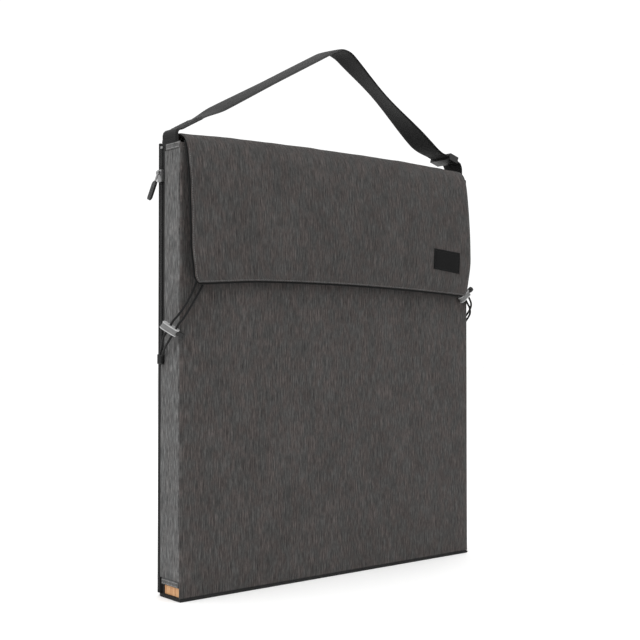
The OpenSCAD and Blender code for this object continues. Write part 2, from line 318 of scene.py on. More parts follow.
def sweep(
    name: str, rings: Sequence[Sequence[Vector]], around: Sequence[float], along: Sequence[float]
) -> bpy.types.Object:
    """A closed skin over a row of rings.

    Args:
        name: the name of the piece.
        rings: closed rings of points, all with the same count.
        around: the pattern's place at each point of a ring, and once more where it closes.
        along: the pattern's place at each ring.

    Returns:
        The new object.
    """
    count = len(rings[0])
    points = [p for ring in rings for p in ring]
    faces, uvs = [], []
    for j in range(len(rings) - 1):
        for i in range(count):
            k = (i + 1) % count
            faces.append([j * count + i, j * count + k, (j + 1) * count + k, (j + 1) * count + i])
            uvs.append([(around[i], along[j]), (around[i + 1], along[j]),
                        (around[i + 1], along[j + 1]), (around[i], along[j + 1])])
    for j in (0, len(rings) - 1):
        faces.append([j * count + i for i in range(count)])
        uvs.append([(around[i], along[j]) for i in range(count)])
    return mesh_object(name, points, faces, uvs)


def tube(name: str, path: Sequence[Vector], radius: float, sides: int) -> bpy.types.Object:
    """A round tube along a path, its pattern once round and in metres along."""
    side = (path[1] - path[0]).orthogonal().normalized()
    rings = []
    for i, point in enumerate(path):
        heading = (path[min(i + 1, len(path) - 1)] - path[max(i - 1, 0)]).normalized()
        side = (side - heading * side.dot(heading)).normalized()
        up = heading.cross(side)
        angles = [2 * math.pi * k / sides for k in range(sides)]
        rings.append([point + radius * (math.cos(a) * side + math.sin(a) * up) for a in angles])
    return sweep(name, rings, [k / sides for k in range(sides + 1)], run_of(path))


def eased_copy(node: str, name: str, width: float) -> bpy.types.Object:
    """A copy of a CAD node with its hard edges eased, as moulding or sanding leaves them.

    Args:
        node: the CAD node.
        name: the name of the piece.
        width: the width of the easing.

    Returns:
        The new object.
    """
    shape = bmesh.new()
    shape.from_mesh(frame["nodes"][node].data)
    bmesh.ops.remove_doubles(shape, verts=shape.verts, dist=2e-6)
    bmesh.ops.dissolve_limit(
        shape, angle_limit=math.radians(1), verts=shape.verts, edges=shape.edges
    )
    sharp = [e for e in shape.edges if e.is_manifold and e.calc_face_angle(0) > math.radians(32)]
    bmesh.ops.bevel(
        shape, geom=sharp, offset=width, offset_type="OFFSET", segments=2, profile=0.6,
        affect="EDGES", clamp_overlap=True
    )
    for face in shape.faces:
        face.smooth = True
    mesh = bpy.data.meshes.new(name)
    shape.to_mesh(mesh)
    shape.free()
    mesh.set_sharp_from_angle(angle=math.radians(50))
    piece = bpy.data.objects.new(name, mesh)
    bpy.context.collection.objects.link(piece)
    piece.modifiers.new("Even shading", "WEIGHTED_NORMAL").keep_sharp = True
    return piece


# ---- Rows of small parts ------------------------------------------------------------


@dataclass(frozen=True)
class RowOf:
    """Geometry Nodes row of one small rounded part along a line, such as stitches or teeth."""

    pitch: float
    size: tuple[float, float, float]
    turn: float = 0.0
    jitter: float = 0.0
    seed: int = 7

    @staticmethod
    def tree() -> bpy.types.NodeTree:
        """The node tree that all rows share, made on first use."""
        known = bpy.data.node_groups.get("row_of_parts")
        if known:
            return known
        tree = bpy.data.node_groups.new("row_of_parts", "GeometryNodeTree")
        for label, kind in (
            ("Line", "Geometry"), ("Pitch", "Float"), ("Size", "Vector"), ("Turn", "Vector"),
            ("Jitter", "Float"), ("Seed", "Int"), ("Finish", "Material"),
        ):
            tree.interface.new_socket(label, in_out="INPUT", socket_type=f"NodeSocket{kind}")
        tree.interface.new_socket("Parts", in_out="OUTPUT", socket_type="NodeSocketGeometry")
        add, link = tree.nodes.new, tree.links.new
        given, made = add("NodeGroupInput"), add("NodeGroupOutput")
        curve = add("GeometryNodeMeshToCurve")
        spread = add("GeometryNodeResampleCurve")
        spread.mode = "LENGTH"
        part = add("GeometryNodeMeshUVSphere")
        part.inputs["Segments"].default_value = 8
        part.inputs["Rings"].default_value = 5
        part.inputs["Radius"].default_value = 1.0
        tangent = add("GeometryNodeInputTangent")
        aim = add("FunctionNodeAlignRotationToVector")
        aim.axis = "X"
        tilt = add("FunctionNodeRotateRotation")
        tilt.rotation_space = "LOCAL"
        low = add("ShaderNodeMath")
        low.operation = "SUBTRACT"
        low.inputs[0].default_value = 1.0
        high = add("ShaderNodeMath")
        high.operation = "ADD"
        high.inputs[0].default_value = 1.0
        chance = add("FunctionNodeRandomValue")
        chance.data_type = "FLOAT"
        sized = add("ShaderNodeVectorMath")
        sized.operation = "SCALE"
        placed = add("GeometryNodeInstanceOnPoints")
        real = add("GeometryNodeRealizeInstances")
        dressed = add("GeometryNodeSetMaterial")
        link(given.outputs["Line"], curve.inputs["Mesh"])
        link(curve.outputs["Curve"], spread.inputs["Curve"])
        link(given.outputs["Pitch"], spread.inputs["Length"])
        link(spread.outputs["Curve"], placed.inputs["Points"])
        link(part.outputs["Mesh"], placed.inputs["Instance"])
        link(tangent.outputs["Tangent"], aim.inputs["Vector"])
        link(aim.outputs["Rotation"], tilt.inputs["Rotation"])
        link(given.outputs["Turn"], tilt.inputs["Rotate By"])
        link(tilt.outputs["Rotation"], placed.inputs["Rotation"])
        link(given.outputs["Jitter"], low.inputs[1])
        link(given.outputs["Jitter"], high.inputs[1])
        floats = [s for s in chance.inputs if s.type == "VALUE"]
        link(low.outputs[0], floats[0])
        link(high.outputs[0], floats[1])
        link(given.outputs["Seed"], chance.inputs["Seed"])
        link(given.outputs["Size"], sized.inputs[0])
        link([s for s in chance.outputs if s.type == "VALUE"][0], sized.inputs["Scale"])
        link(sized.outputs["Vector"], placed.inputs["Scale"])
        link(placed.outputs["Instances"], real.inputs["Geometry"])
        link(real.outputs["Geometry"], dressed.inputs["Geometry"])
        link(given.outputs["Finish"], dressed.inputs["Material"])
        link(dressed.outputs["Geometry"], made.inputs["Parts"])
        return tree

    def along(
        self, name: str, lines: Sequence[Sequence[Vector]], finish: bpy.types.Material
    ) -> bpy.types.Object:
        """One mesh of the small parts along every line.

        Args:
            name: the name of the piece.
            lines: the lines, each as its points.
            finish: the material of the parts.

        Returns:
            The new object, with no modifier left on it.
        """
        points, edges = [], []
        for line in lines:
            edges += [(len(points) + k, len(points) + k + 1) for k in range(len(line) - 1)]
            points += [tuple(p) for p in line]
        mesh = bpy.data.meshes.new(f"{name}.lines")
        mesh.from_pydata(points, edges, [])
        piece = bpy.data.objects.new(name, mesh)
        bpy.context.collection.objects.link(piece)
        tree = self.tree()
        modifier = piece.modifiers.new("Row", "NODES")
        modifier.node_group = tree
        values = {
            "Pitch": self.pitch, "Size": self.size, "Turn": (0.0, 0.0, self.turn),
            "Jitter": self.jitter, "Seed": self.seed, "Finish": finish,
        }
        for item in tree.interface.items_tree:
            if item.in_out == "INPUT" and item.name in values:
                modifier[item.identifier] = values[item.name]
        graph = bpy.context.evaluated_depsgraph_get()
        made = bpy.data.meshes.new_from_object(piece.evaluated_get(graph), depsgraph=graph)
        made.name = name
        piece.modifiers.clear()
        piece.data = made
        bpy.data.meshes.remove(mesh)
        for face in made.polygons:
            face.use_smooth = True
        return piece


STITCH = RowOf(pitch=0.0030, size=(0.00125, 0.00028, 0.00028), jitter=0.12, seed=3)


# ---- Finishes -----------------------------------------------------------------------


class Bench:
    """Short hand for the node tree of one material."""

    def __init__(self, name: str, roughness: float, metallic: float = 0.0, sheen: float = 0.0,
                 coat: float = 0.0, specular: float = 0.2) -> None:
        """Starts a material.

        Args:
            name: the material's name.
            roughness: the shader's own roughness.
            metallic: 1 for a metal.
            sheen: how much soft fuzz light it shows.
            coat: how much clear coat it has.
            specular: how strongly it mirrors light.
        """
        self.material = bpy.data.materials.new(name)
        self.material.use_nodes = True
        self.tree = self.material.node_tree
        self.shader = self.tree.nodes["Principled BSDF"]
        self.shader.inputs["Roughness"].default_value = roughness
        self.shader.inputs["Metallic"].default_value = metallic
        self.shader.inputs["Sheen Weight"].default_value = sheen
        self.shader.inputs["Sheen Roughness"].default_value = 0.5
        self.shader.inputs["Coat Weight"].default_value = coat
        self.shader.inputs["Specular IOR Level"].default_value = specular

    def feed(self, socket: bpy.types.NodeSocket, value: object) -> None:
        """Links a socket to a value that is a socket, or sets it."""
        if isinstance(value, bpy.types.NodeSocket):
            self.tree.links.new(value, socket)
        elif socket.type == "RGBA":
            socket.default_value = (*value, 1.0)
        else:
            socket.default_value = value

    def place(self, pattern: Pattern, scale: Sequence[float]) -> bpy.types.NodeSocket:
        """The pattern's place, scaled: across, along and through where it follows the frame.

        On the frame, across is X and Y together, so that one pattern fits a front and a side.
        """
        source = self.tree.nodes.new("ShaderNodeTexCoord").outputs[pattern.value]
        if pattern is Pattern.FRAME:
            split = self.tree.nodes.new("ShaderNodeSeparateXYZ")
            self.feed(split.inputs[0], source)
            across = self.sum("ADD", split.outputs["X"], split.outputs["Y"])
            join = self.tree.nodes.new("ShaderNodeCombineXYZ")
            self.feed(join.inputs["X"], across)
            self.feed(join.inputs["Y"], split.outputs["Z"])
            source = join.outputs[0]
        return self.scaled(source, scale)

    def frame_place(self, scale: Sequence[float]) -> bpy.types.NodeSocket:
        """The frame's own X, Y and Z, scaled."""
        return self.scaled(self.tree.nodes.new("ShaderNodeTexCoord").outputs["Object"], scale)

    def scaled(self, source: bpy.types.NodeSocket, scale: Sequence[float]) -> bpy.types.NodeSocket:
        """A place with each part scaled."""
        mapping = self.tree.nodes.new("ShaderNodeMapping")
        self.feed(mapping.inputs["Vector"], source)
        mapping.inputs["Scale"].default_value = scale
        return mapping.outputs[0]

    def noise(self, place: bpy.types.NodeSocket, scale: float = 1.0, detail: float = 2.0,
              roughness: float = 0.5) -> bpy.types.NodeSocket:
        """Smooth noise from 0 to 1 at a place."""
        node = self.tree.nodes.new("ShaderNodeTexNoise")
        self.feed(node.inputs["Vector"], place)
        node.inputs["Scale"].default_value = scale
        node.inputs["Detail"].default_value = detail
        node.inputs["Roughness"].default_value = roughness
        return node.outputs[0]

    def sum(self, operation: str, a: object, b: object = 0.0) -> bpy.types.NodeSocket:
        """One sum of two numbers."""
        node = self.tree.nodes.new("ShaderNodeMath")
        node.operation = operation
        self.feed(node.inputs[0], a)
        self.feed(node.inputs[1], b)
        return node.outputs[0]

    def weigh(self, *parts: tuple[bpy.types.NodeSocket, float]) -> bpy.types.NodeSocket:
        """The sum of levels, each with its weight."""
        total, *rest = (self.sum("MULTIPLY", level, weight) for level, weight in parts)
        for part in rest:
            total = self.sum("ADD", total, part)
        return total

    def ridge(self, place: bpy.types.NodeSocket, part: str) -> bpy.types.NodeSocket:
        """Rounded ridges from 0 to 1, one to each unit of a place's X or Y."""
        split = self.tree.nodes.new("ShaderNodeSeparateXYZ")
        self.feed(split.inputs[0], place)
        wave = self.sum("SINE", self.sum("MULTIPLY", split.outputs[part], math.pi))
        return self.sum("ABSOLUTE", wave)

    def ramp(self, level: bpy.types.NodeSocket, stops: Sequence[tuple[float, Colour]]
             ) -> bpy.types.NodeSocket:
        """A colour for each level, smooth between the stops."""
        node = self.tree.nodes.new("ShaderNodeValToRGB")
        self.feed(node.inputs[0], level)
        band = node.color_ramp
        while len(band.elements) < len(stops):
            band.elements.new(1.0)
        for element, (at, colour) in zip(band.elements, stops):
            element.position = at
            element.color = (*colour, 1.0)
        return node.outputs[0]

    def mix(self, share: object, a: object, b: object, mode: str = "MIX") -> bpy.types.NodeSocket:
        """Two colours mixed."""
        node = self.tree.nodes.new("ShaderNodeMix")
        node.data_type = "RGBA"
        node.blend_type = mode
        self.feed(node.inputs[0], share)
        self.feed(node.inputs[6], a)
        self.feed(node.inputs[7], b)
        return node.outputs[2]

    def colour(self, value: object) -> None:
        """Sets the surface's colour."""
        self.feed(self.shader.inputs["Base Color"], value)

    def bump(self, height: bpy.types.NodeSocket, distance: float, strength: float = 1.0) -> None:
        """Raises the surface by a height from 0 to 1, over a distance in metres."""
        node = self.tree.nodes.new("ShaderNodeBump")
        node.inputs["Distance"].default_value = distance
        node.inputs["Strength"].default_value = strength
        self.feed(node.inputs["Height"], height)
        self.feed(self.shader.inputs["Normal"], node.outputs[0])


@dataclass(frozen=True)
class MelangeCloth:
    """Woven cloth of mottled yarn, with lighter threads running down it."""

    name: str
    shade: int
    tint: Colour = (1.0, 0.93, 0.905)
    pattern: Pattern = Pattern.FRAME
    contrast: float = 0.62
    yarn: float = 0.0008
    warmth: float = 0.07

    def make(self) -> bpy.types.Material:
        """Builds the material."""
        bench = Bench(self.name, roughness=0.92, sheen=0.04)
        threads = bench.noise(bench.place(self.pattern, (900, 45, 1)), detail=3)
        flecks = bench.noise(bench.place(self.pattern, (520, 120, 1)), detail=4, roughness=0.7)
        patches = bench.noise(bench.place(self.pattern, (22, 9, 1)), detail=3)
        level = bench.weigh((threads, 0.5), (flecks, 0.38), (patches, 0.12))
        base = linear(self.shade, self.tint)
        dark = toned(base, 1 - self.contrast)
        light = toned(base, 1 + 1.5 * self.contrast)
        body = bench.ramp(level, [(0.36, dark), (0.50, base), (0.64, light)])
        hue = bench.ramp(bench.noise(bench.place(self.pattern, (70, 45, 1)), detail=2), [
            (0.40, (1 + self.warmth, 1.0, 1 - self.warmth / 3)),
            (0.60, (1 - self.warmth / 2, 1.0, 1.0))])
        bench.colour(bench.mix(1.0, body, hue, "MULTIPLY"))
        weave = bench.place(self.pattern, (1 / self.yarn, 1 / self.yarn, 1))
        cross = bench.sum("MULTIPLY", bench.ridge(weave, "X"), bench.ridge(weave, "Y"))
        bench.bump(bench.weigh((cross, 0.6), (flecks, 0.5)), 0.00022, 0.7)
        return bench.material


@dataclass(frozen=True)
class PlainCloth:
    """Tight black cloth, used for linings, bindings and tapes."""

    name: str
    shade: int
    pattern: Pattern = Pattern.FRAME
    yarn: float = 0.0006

    def make(self) -> bpy.types.Material:
        """Builds the material."""
        bench = Bench(self.name, roughness=0.85, sheen=0.03, specular=0.1)
        fuzz = bench.noise(bench.place(self.pattern, (700, 500, 1)), detail=3)
        broad = bench.noise(bench.place(self.pattern, (30, 18, 1)), detail=2)
        level = bench.weigh((fuzz, 0.6), (broad, 0.4))
        base = linear(self.shade)
        bench.colour(bench.ramp(level, [(0.35, toned(base, 0.7)),
                                        (0.65, toned(base, 1.35))]))
        weave = bench.place(self.pattern, (1 / self.yarn, 0.8 / self.yarn, 1))
        height = bench.sum("ADD", bench.ridge(weave, "X"), bench.ridge(weave, "Y"))
        bench.bump(bench.sum("MULTIPLY", height, 0.5), 0.00018, 0.6)
        return bench.material


@dataclass(frozen=True)
class Webbing:
    """Flat woven band: lengthwise ribs crossed by fine slanted picks."""

    name: str
    shade: int
    rib: float = 0.0019
    pick: float = 0.0013

    def make(self) -> bpy.types.Material:
        """Builds the material."""
        bench = Bench(self.name, roughness=0.6, sheen=0.04, specular=0.12)
        band = bench.place(Pattern.CLOTH, (1 / self.rib, 1 / self.pick, 1))
        ribs = bench.ridge(band, "X")
        split = bench.tree.nodes.new("ShaderNodeSeparateXYZ")
        bench.feed(split.inputs[0], band)
        slant = bench.sum("ADD", split.outputs["Y"], ribs)
        picks = bench.sum("ABSOLUTE", bench.sum("SINE", bench.sum("MULTIPLY", slant, math.pi)))
        height = bench.weigh((ribs, 0.6), (picks, 0.4))
        wear = bench.noise(bench.place(Pattern.CLOTH, (90, 30, 1)), detail=4)
        # Painted shade and highlight: the colour follows the weave's height, darker in its hollows
        # and lighter on its ridges, mixed with a random wear tone.
        level = bench.weigh((height, 0.6), (wear, 0.4))
        base = linear(self.shade)
        bench.colour(bench.ramp(level, [(0.25, toned(base, 0.65)), (0.55, base),
                                        (0.85, toned(base, 1.35))]))
        bench.bump(height, 0.0002, 0.7)
        return bench.material


@dataclass(frozen=True)
class Braid:
    """Round elastic cord under a braided cover."""

    name: str
    shade: int
    strands: int = 8
    lay: float = 0.0045

    def make(self) -> bpy.types.Material:
        """Builds the material."""
        bench = Bench(self.name, roughness=0.7, sheen=0.04, specular=0.12)
        wrap = bench.place(Pattern.CLOTH, (self.strands / 2, 1 / self.lay * 2, 1))
        split = bench.tree.nodes.new("ShaderNodeSeparateXYZ")
        bench.feed(split.inputs[0], wrap)
        waves = []
        for operation in ("ADD", "SUBTRACT"):
            slant = bench.sum(operation, split.outputs["X"], split.outputs["Y"])
            waves.append(bench.sum("ABSOLUTE", bench.sum(
                "SINE", bench.sum("MULTIPLY", slant, math.pi))))
        height = bench.sum("MAXIMUM", *waves)
        base = linear(self.shade)
        # Painted shade and highlight: the grooves between the strands are darkened and the strands'
        # crowns lightened.
        bench.colour(bench.ramp(height, [(0.45, toned(base, 0.35)),
                                         (1.0, toned(base, 1.25))]))
        bench.bump(height, 0.0003, 0.8)
        return bench.material


@dataclass(frozen=True)
class Moulded:
    """Moulded plastic with a fine spark-eroded skin."""

    name: str
    shade: int
    roughness: float = 0.42
    specular: float = 0.3

    def make(self) -> bpy.types.Material:
        """Builds the material."""
        bench = Bench(self.name, roughness=self.roughness, specular=self.specular)
        cloud = bench.noise(bench.frame_place((140, 140, 140)), detail=4)
        base = linear(self.shade)
        bench.colour(bench.ramp(cloud, [(0.35, toned(base, 0.88)),
                                        (0.65, toned(base, 1.12))]))
        skin = bench.noise(bench.frame_place((2600, 2600, 2600)), detail=2)
        bench.bump(skin, 0.00005, 0.5)
        rough = bench.sum("ADD", bench.sum("MULTIPLY", cloud, 0.16), self.roughness - 0.08)
        bench.feed(bench.shader.inputs["Roughness"], rough)
        return bench.material


@dataclass(frozen=True)
class Metal:
    """Plated zip metal or spring wire, slightly smudged."""

    name: str
    shade: int
    roughness: float = 0.32

    def make(self) -> bpy.types.Material:
        """Builds the material."""
        bench = Bench(self.name, roughness=self.roughness, metallic=1.0, specular=0.5)
        smudge = bench.noise(bench.frame_place((260, 260, 260)), detail=5, roughness=0.6)
        base = linear(self.shade)
        bench.colour(bench.ramp(smudge, [(0.3, toned(base, 0.75)), (0.7, base)]))
        rough = bench.sum("ADD", bench.sum("MULTIPLY", smudge, 0.25), self.roughness - 0.1)
        bench.feed(bench.shader.inputs["Roughness"], rough)
        return bench.material


@dataclass(frozen=True)
class PlyWood:
    """Pale plywood: long grain on the faces and thin plies on the edges."""

    name: str
    pale: Colour = (0.66, 0.40, 0.20)
    brown: Colour = (0.38, 0.17, 0.08)
    ply: float = 0.0024

    def make(self) -> bpy.types.Material:
        """Builds the material."""
        bench = Bench(self.name, roughness=0.6)
        grain = bench.noise(bench.frame_place((300, 300, 9)), detail=6, roughness=0.62)
        rings = bench.noise(bench.frame_place((26, 20, 1.6)), detail=3)
        level = bench.weigh((grain, 0.6), (rings, 0.4))
        middle = tuple((a + b) / 2 for a, b in zip(self.pale, self.brown))
        face = bench.ramp(level, [(0.34, self.brown), (0.48, middle), (0.60, self.pale)])
        layers = bench.scaled(bench.frame_place((1, 1, 1)), (0, 1 / self.ply, 0))
        split = bench.ridge(layers, "Y")
        shade = bench.ramp(split, [(0.0, (0.80, 0.74, 0.70)), (0.35, (1.0, 1.0, 1.0))])
        bench.colour(bench.mix(0.7, face, shade, "MULTIPLY"))
        bench.bump(grain, 0.00012, 0.5)
        return bench.material


@dataclass(frozen=True)
class Hide:
    """Black pressed leather with a pebbled grain."""

    name: str
    shade: int

    def make(self) -> bpy.types.Material:
        """Builds the material."""
        bench = Bench(self.name, roughness=0.5, specular=0.08)
        cells = bench.tree.nodes.new("ShaderNodeTexVoronoi")
        bench.feed(cells.inputs["Vector"], bench.place(Pattern.CLOTH, (1, 1, 1)))
        cells.inputs["Scale"].default_value = 900
        creases = bench.noise(bench.place(Pattern.CLOTH, (300, 300, 1)), detail=4)
        height = bench.sum("ADD", cells.outputs["Distance"], creases)
        base = linear(self.shade)
        bench.colour(bench.ramp(creases, [(0.35, toned(base, 0.75)),
                                          (0.7, toned(base, 1.3))]))
        bench.bump(height, 0.0001, 0.6)
        return bench.material


@dataclass(frozen=True)
class Finishes:
    """Every finish of the case, made once."""

    shell: bpy.types.Material
    shell_sewn: bpy.types.Material
    side: bpy.types.Material
    black: bpy.types.Material
    lining: bpy.types.Material
    webbing: bpy.types.Material
    braid: bpy.types.Material
    wood: bpy.types.Material
    sheet: bpy.types.Material
    lock: bpy.types.Material
    lock_rim: bpy.types.Material
    knob: bpy.types.Material
    metal: bpy.types.Material
    wire: bpy.types.Material
    hide: bpy.types.Material
    thread: bpy.types.Material
    black_thread: bpy.types.Material
    side_thread: bpy.types.Material

    @classmethod
    def make(cls) -> "Finishes":
        """Builds the finishes."""
        return cls(
            shell=MelangeCloth("shell_cloth", 59).make(),
            shell_sewn=MelangeCloth("shell_cloth_sewn", 56, pattern=Pattern.CLOTH).make(),
            # Partly painted light: the side cloth is a paler grey than the front's, and its extra
            # lightness also stands in for the light falling on the sides from the left.
            side=MelangeCloth("side_cloth", 78, (1.0, 0.995, 0.99), contrast=0.8,
                              warmth=0.02).make(),
            black=PlainCloth("black_cloth", 34).make(),
            lining=PlainCloth("lining_cloth", 20, Pattern.CLOTH).make(),
            webbing=Webbing("strap_webbing", 13).make(),
            braid=Braid("cord_braid", 24).make(),
            wood=PlyWood("board_wood").make(),
            sheet=Moulded("stiffener_sheet", 46, 0.55).make(),
            lock=Moulded("lock_grey", 100, 0.45).make(),
            # Painted highlight: a lighter copy of the lock's grey, given to its rims to stand in
            # for the light they catch.
            lock_rim=Moulded("lock_rim_grey", 160, 0.32).make(),
            knob=Moulded("black_moulded", 24, 0.38).make(),
            metal=Metal("zip_metal", 150).make(),
            wire=Metal("spring_wire", 190, 0.25).make(),
            hide=Hide("patch_leather", 12).make(),
            thread=Moulded("cloth_thread", 100, 0.8).make(),
            black_thread=Moulded("black_thread", 30, 0.7).make(),
            side_thread=Moulded("side_thread", 150, 0.8).make(),
        )


def dress(
    piece: bpy.types.Object, finish: bpy.types.Material, slot: str, body: str, *nodes: str
) -> bpy.types.Object:
    """Gives a piece its finish and its body.

    Args:
        piece: the piece.
        finish: its material.
        slot: the record's slot that the finish belongs to; not used.
        body: the body it rides on.
        nodes: the CAD nodes that it stands for.

    Returns:
        The piece.
    """
    piece.data.materials.clear()
    piece.data.materials.append(finish)
    if nodes:
        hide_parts(*nodes)
    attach(piece, body)
    return piece


def joint(name: str) -> dict:
    """The record of a joint."""
    return next(j for j in frame["joints"] if j["name"] == name)


def repaint(node: str, finish: bpy.types.Material) -> None:
    """Gives a CAD node that stays in view its own finish."""
    for slot in frame["nodes"][node].material_slots:
        slot.material = finish


# ---- The case's shell ---------------------------------------------------------------


@dataclass
class Shell:
    """Front, sides, base and back of the case, with their hems and seams."""

    finishes: Finishes
    swell: float = 0.0007
    stitch_in: float = 0.0026
    over_tape: float = 0.003
    over_edge: float = 0.0045

    def panel(
        self, node: str, axis: Axis, rim: float, pitch: float, finish: bpy.types.Material,
        slot: str, swell: float = 0.0, limits: Callable[[float], Pair] | None = None,
        front: int = -1
    ) -> bpy.types.Object:
        """One padded panel in the space of a CAD node.

        Args:
            node: the CAD node that it stands for.
            axis: the axis of its thickness.
            rim: the radius over which its rim turns.
            pitch: the distance between its points.
            finish: its material.
            slot: the record's slot of the finish.
            swell: how far its skin wanders.
            limits: the ends of a row at a height, where it isn't a rectangle.
            front: the sign of the axis on its outer side.

        Returns:
            The new piece.
        """
        low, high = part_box(node)
        piece = padded_box(f"{node}.cloth", low, high, axis, rim, pitch, swell, limits, front)
        return dress(piece, finish, slot, CASE, node)

    def front(self) -> None:
        """The padded front and the row of stitches along its hem."""
        cloth = self.panel("front_panel", Axis.Y, 0.0021, 0.009, self.finishes.shell,
                           "shell_cloth", self.swell)
        low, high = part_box("front_panel")
        y = low.y - 0.0001
        line = [Vector((lerp(low.x, high.x, t / 60) * 0.985, y, high.z - 0.006)) for t in range(61)]
        seam = STITCH.along("front_hem_stitches", [line], self.finishes.thread)
        dress(seam, self.finishes.thread, "shell_cloth", CASE)

    def sides(self) -> None:
        """The two side walls with their hems."""
        low_left, high_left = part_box("left_gusset")
        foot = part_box("zip_coil")[0].z - 0.004
        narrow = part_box("left_top_hem")[1].y + self.over_tape

        def beside_zip(z: float) -> Pair:
            """The left wall's two ends at a height: it narrows where the zip begins."""
            wide = high_left.y + self.over_edge
            return low_left.y, lerp(wide, narrow, ease((z - foot) / 0.005))

        for side, sign, limits in (("left", -1, beside_zip), ("right", 1, None)):
            self.panel(f"{side}_gusset", Axis.X, 0.0014, 0.004, self.finishes.side,
                       "side_cloth", 0.0007, limits, sign)
            stitches = []
            for hem in (f"{side}_gusset_hem", f"{side}_top_hem"):
                self.panel(hem, Axis.X, 0.0012, 0.002, self.finishes.side, "side_cloth", 0.0001,
                           None, sign)
                low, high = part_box(hem)
                x = low.x - 0.0001 if sign < 0 else high.x + 0.0001
                for z in (low.z + 0.0018, high.z - 0.0018):
                    stitches.append([Vector((x, y, z)) for y in
                                     (low.y + self.stitch_in, (low.y + high.y) / 2,
                                      high.y - self.stitch_in)])
            rows = STITCH.along(f"{side}_hem_stitches", stitches, self.finishes.side_thread)
            dress(rows, self.finishes.side_thread, "side_cloth", CASE)

    def edges(self) -> None:
        """The black strips that close the back corners, and the base."""
        for node, sign in (("left_back_edge", -1), ("right_back_edge", 1), ("left_lower_edge", -1)):
            start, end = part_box(node)[0].y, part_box(node)[1].y
            if node == "left_lower_edge":
                start += self.over_edge
            self.panel(node, Axis.X, 0.0012, 0.006, self.finishes.black, "black_cloth", 0.0001,
                       lambda z, ends=(start, end): ends, sign)
        low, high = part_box("base_panel")
        corner = 0.008

        def rounded(y: float) -> Pair:
            """The base's two ends at a depth: its back corners are rounded."""
            late = max(0.0, y - (high.y - corner))
            cut = corner - math.sqrt(max(0.0, corner ** 2 - late ** 2))
            return low.x + cut, high.x - cut

        self.panel("base_panel", Axis.Z, 0.0018, 0.004, self.finishes.black, "black_cloth",
                   0.0, rounded, -1)

    def back(self) -> None:
        """The pocket's outer cloth, its divider and the seams across them."""
        pocket = self.panel("pocket_panel", Axis.Y, 0.0022, 0.009, self.finishes.shell,
                            "shell_cloth", 0.0009, None, 1)
        self.panel("divider_panel", Axis.Y, 0.0014, 0.012, self.finishes.black, "black_cloth")
        low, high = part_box("pocket_panel")
        y = high.y + 0.0001
        inset = 0.006
        ring = [(low.x + inset, high.z - inset), (low.x + inset, low.z + inset),
                (high.x - inset, low.z + inset), (high.x - inset, high.z - inset),
                (low.x + inset, high.z - inset)]
        line = straight_runs([Vector((x, y, z)) for x, z in ring], 0.01)
        seam = STITCH.along("pocket_stitches", [line], self.finishes.thread)
        dress(seam, self.finishes.thread, "shell_cloth", CASE)

    def build(self) -> None:
        """Builds every panel of the shell."""
        self.front()
        self.sides()
        self.edges()
        self.back()
        repaint("front_stiffener", self.finishes.sheet)
        LOG.info("shell: front, sides, base and back pocket")


@dataclass
class Boards:
    """The wooden boards that stand in the case."""

    finishes: Finishes
    easing: float = 0.0012

    def build(self) -> None:
        """Builds the three boards."""
        for node in ("front_board", "middle_board", "back_board"):
            board = eased_copy(node, f"{node}.wood", self.easing)
            dress(board, self.finishes.wood, "board_wood", CASE, node)
        LOG.info("boards: three with eased edges")


# ---- The flap -----------------------------------------------------------------------


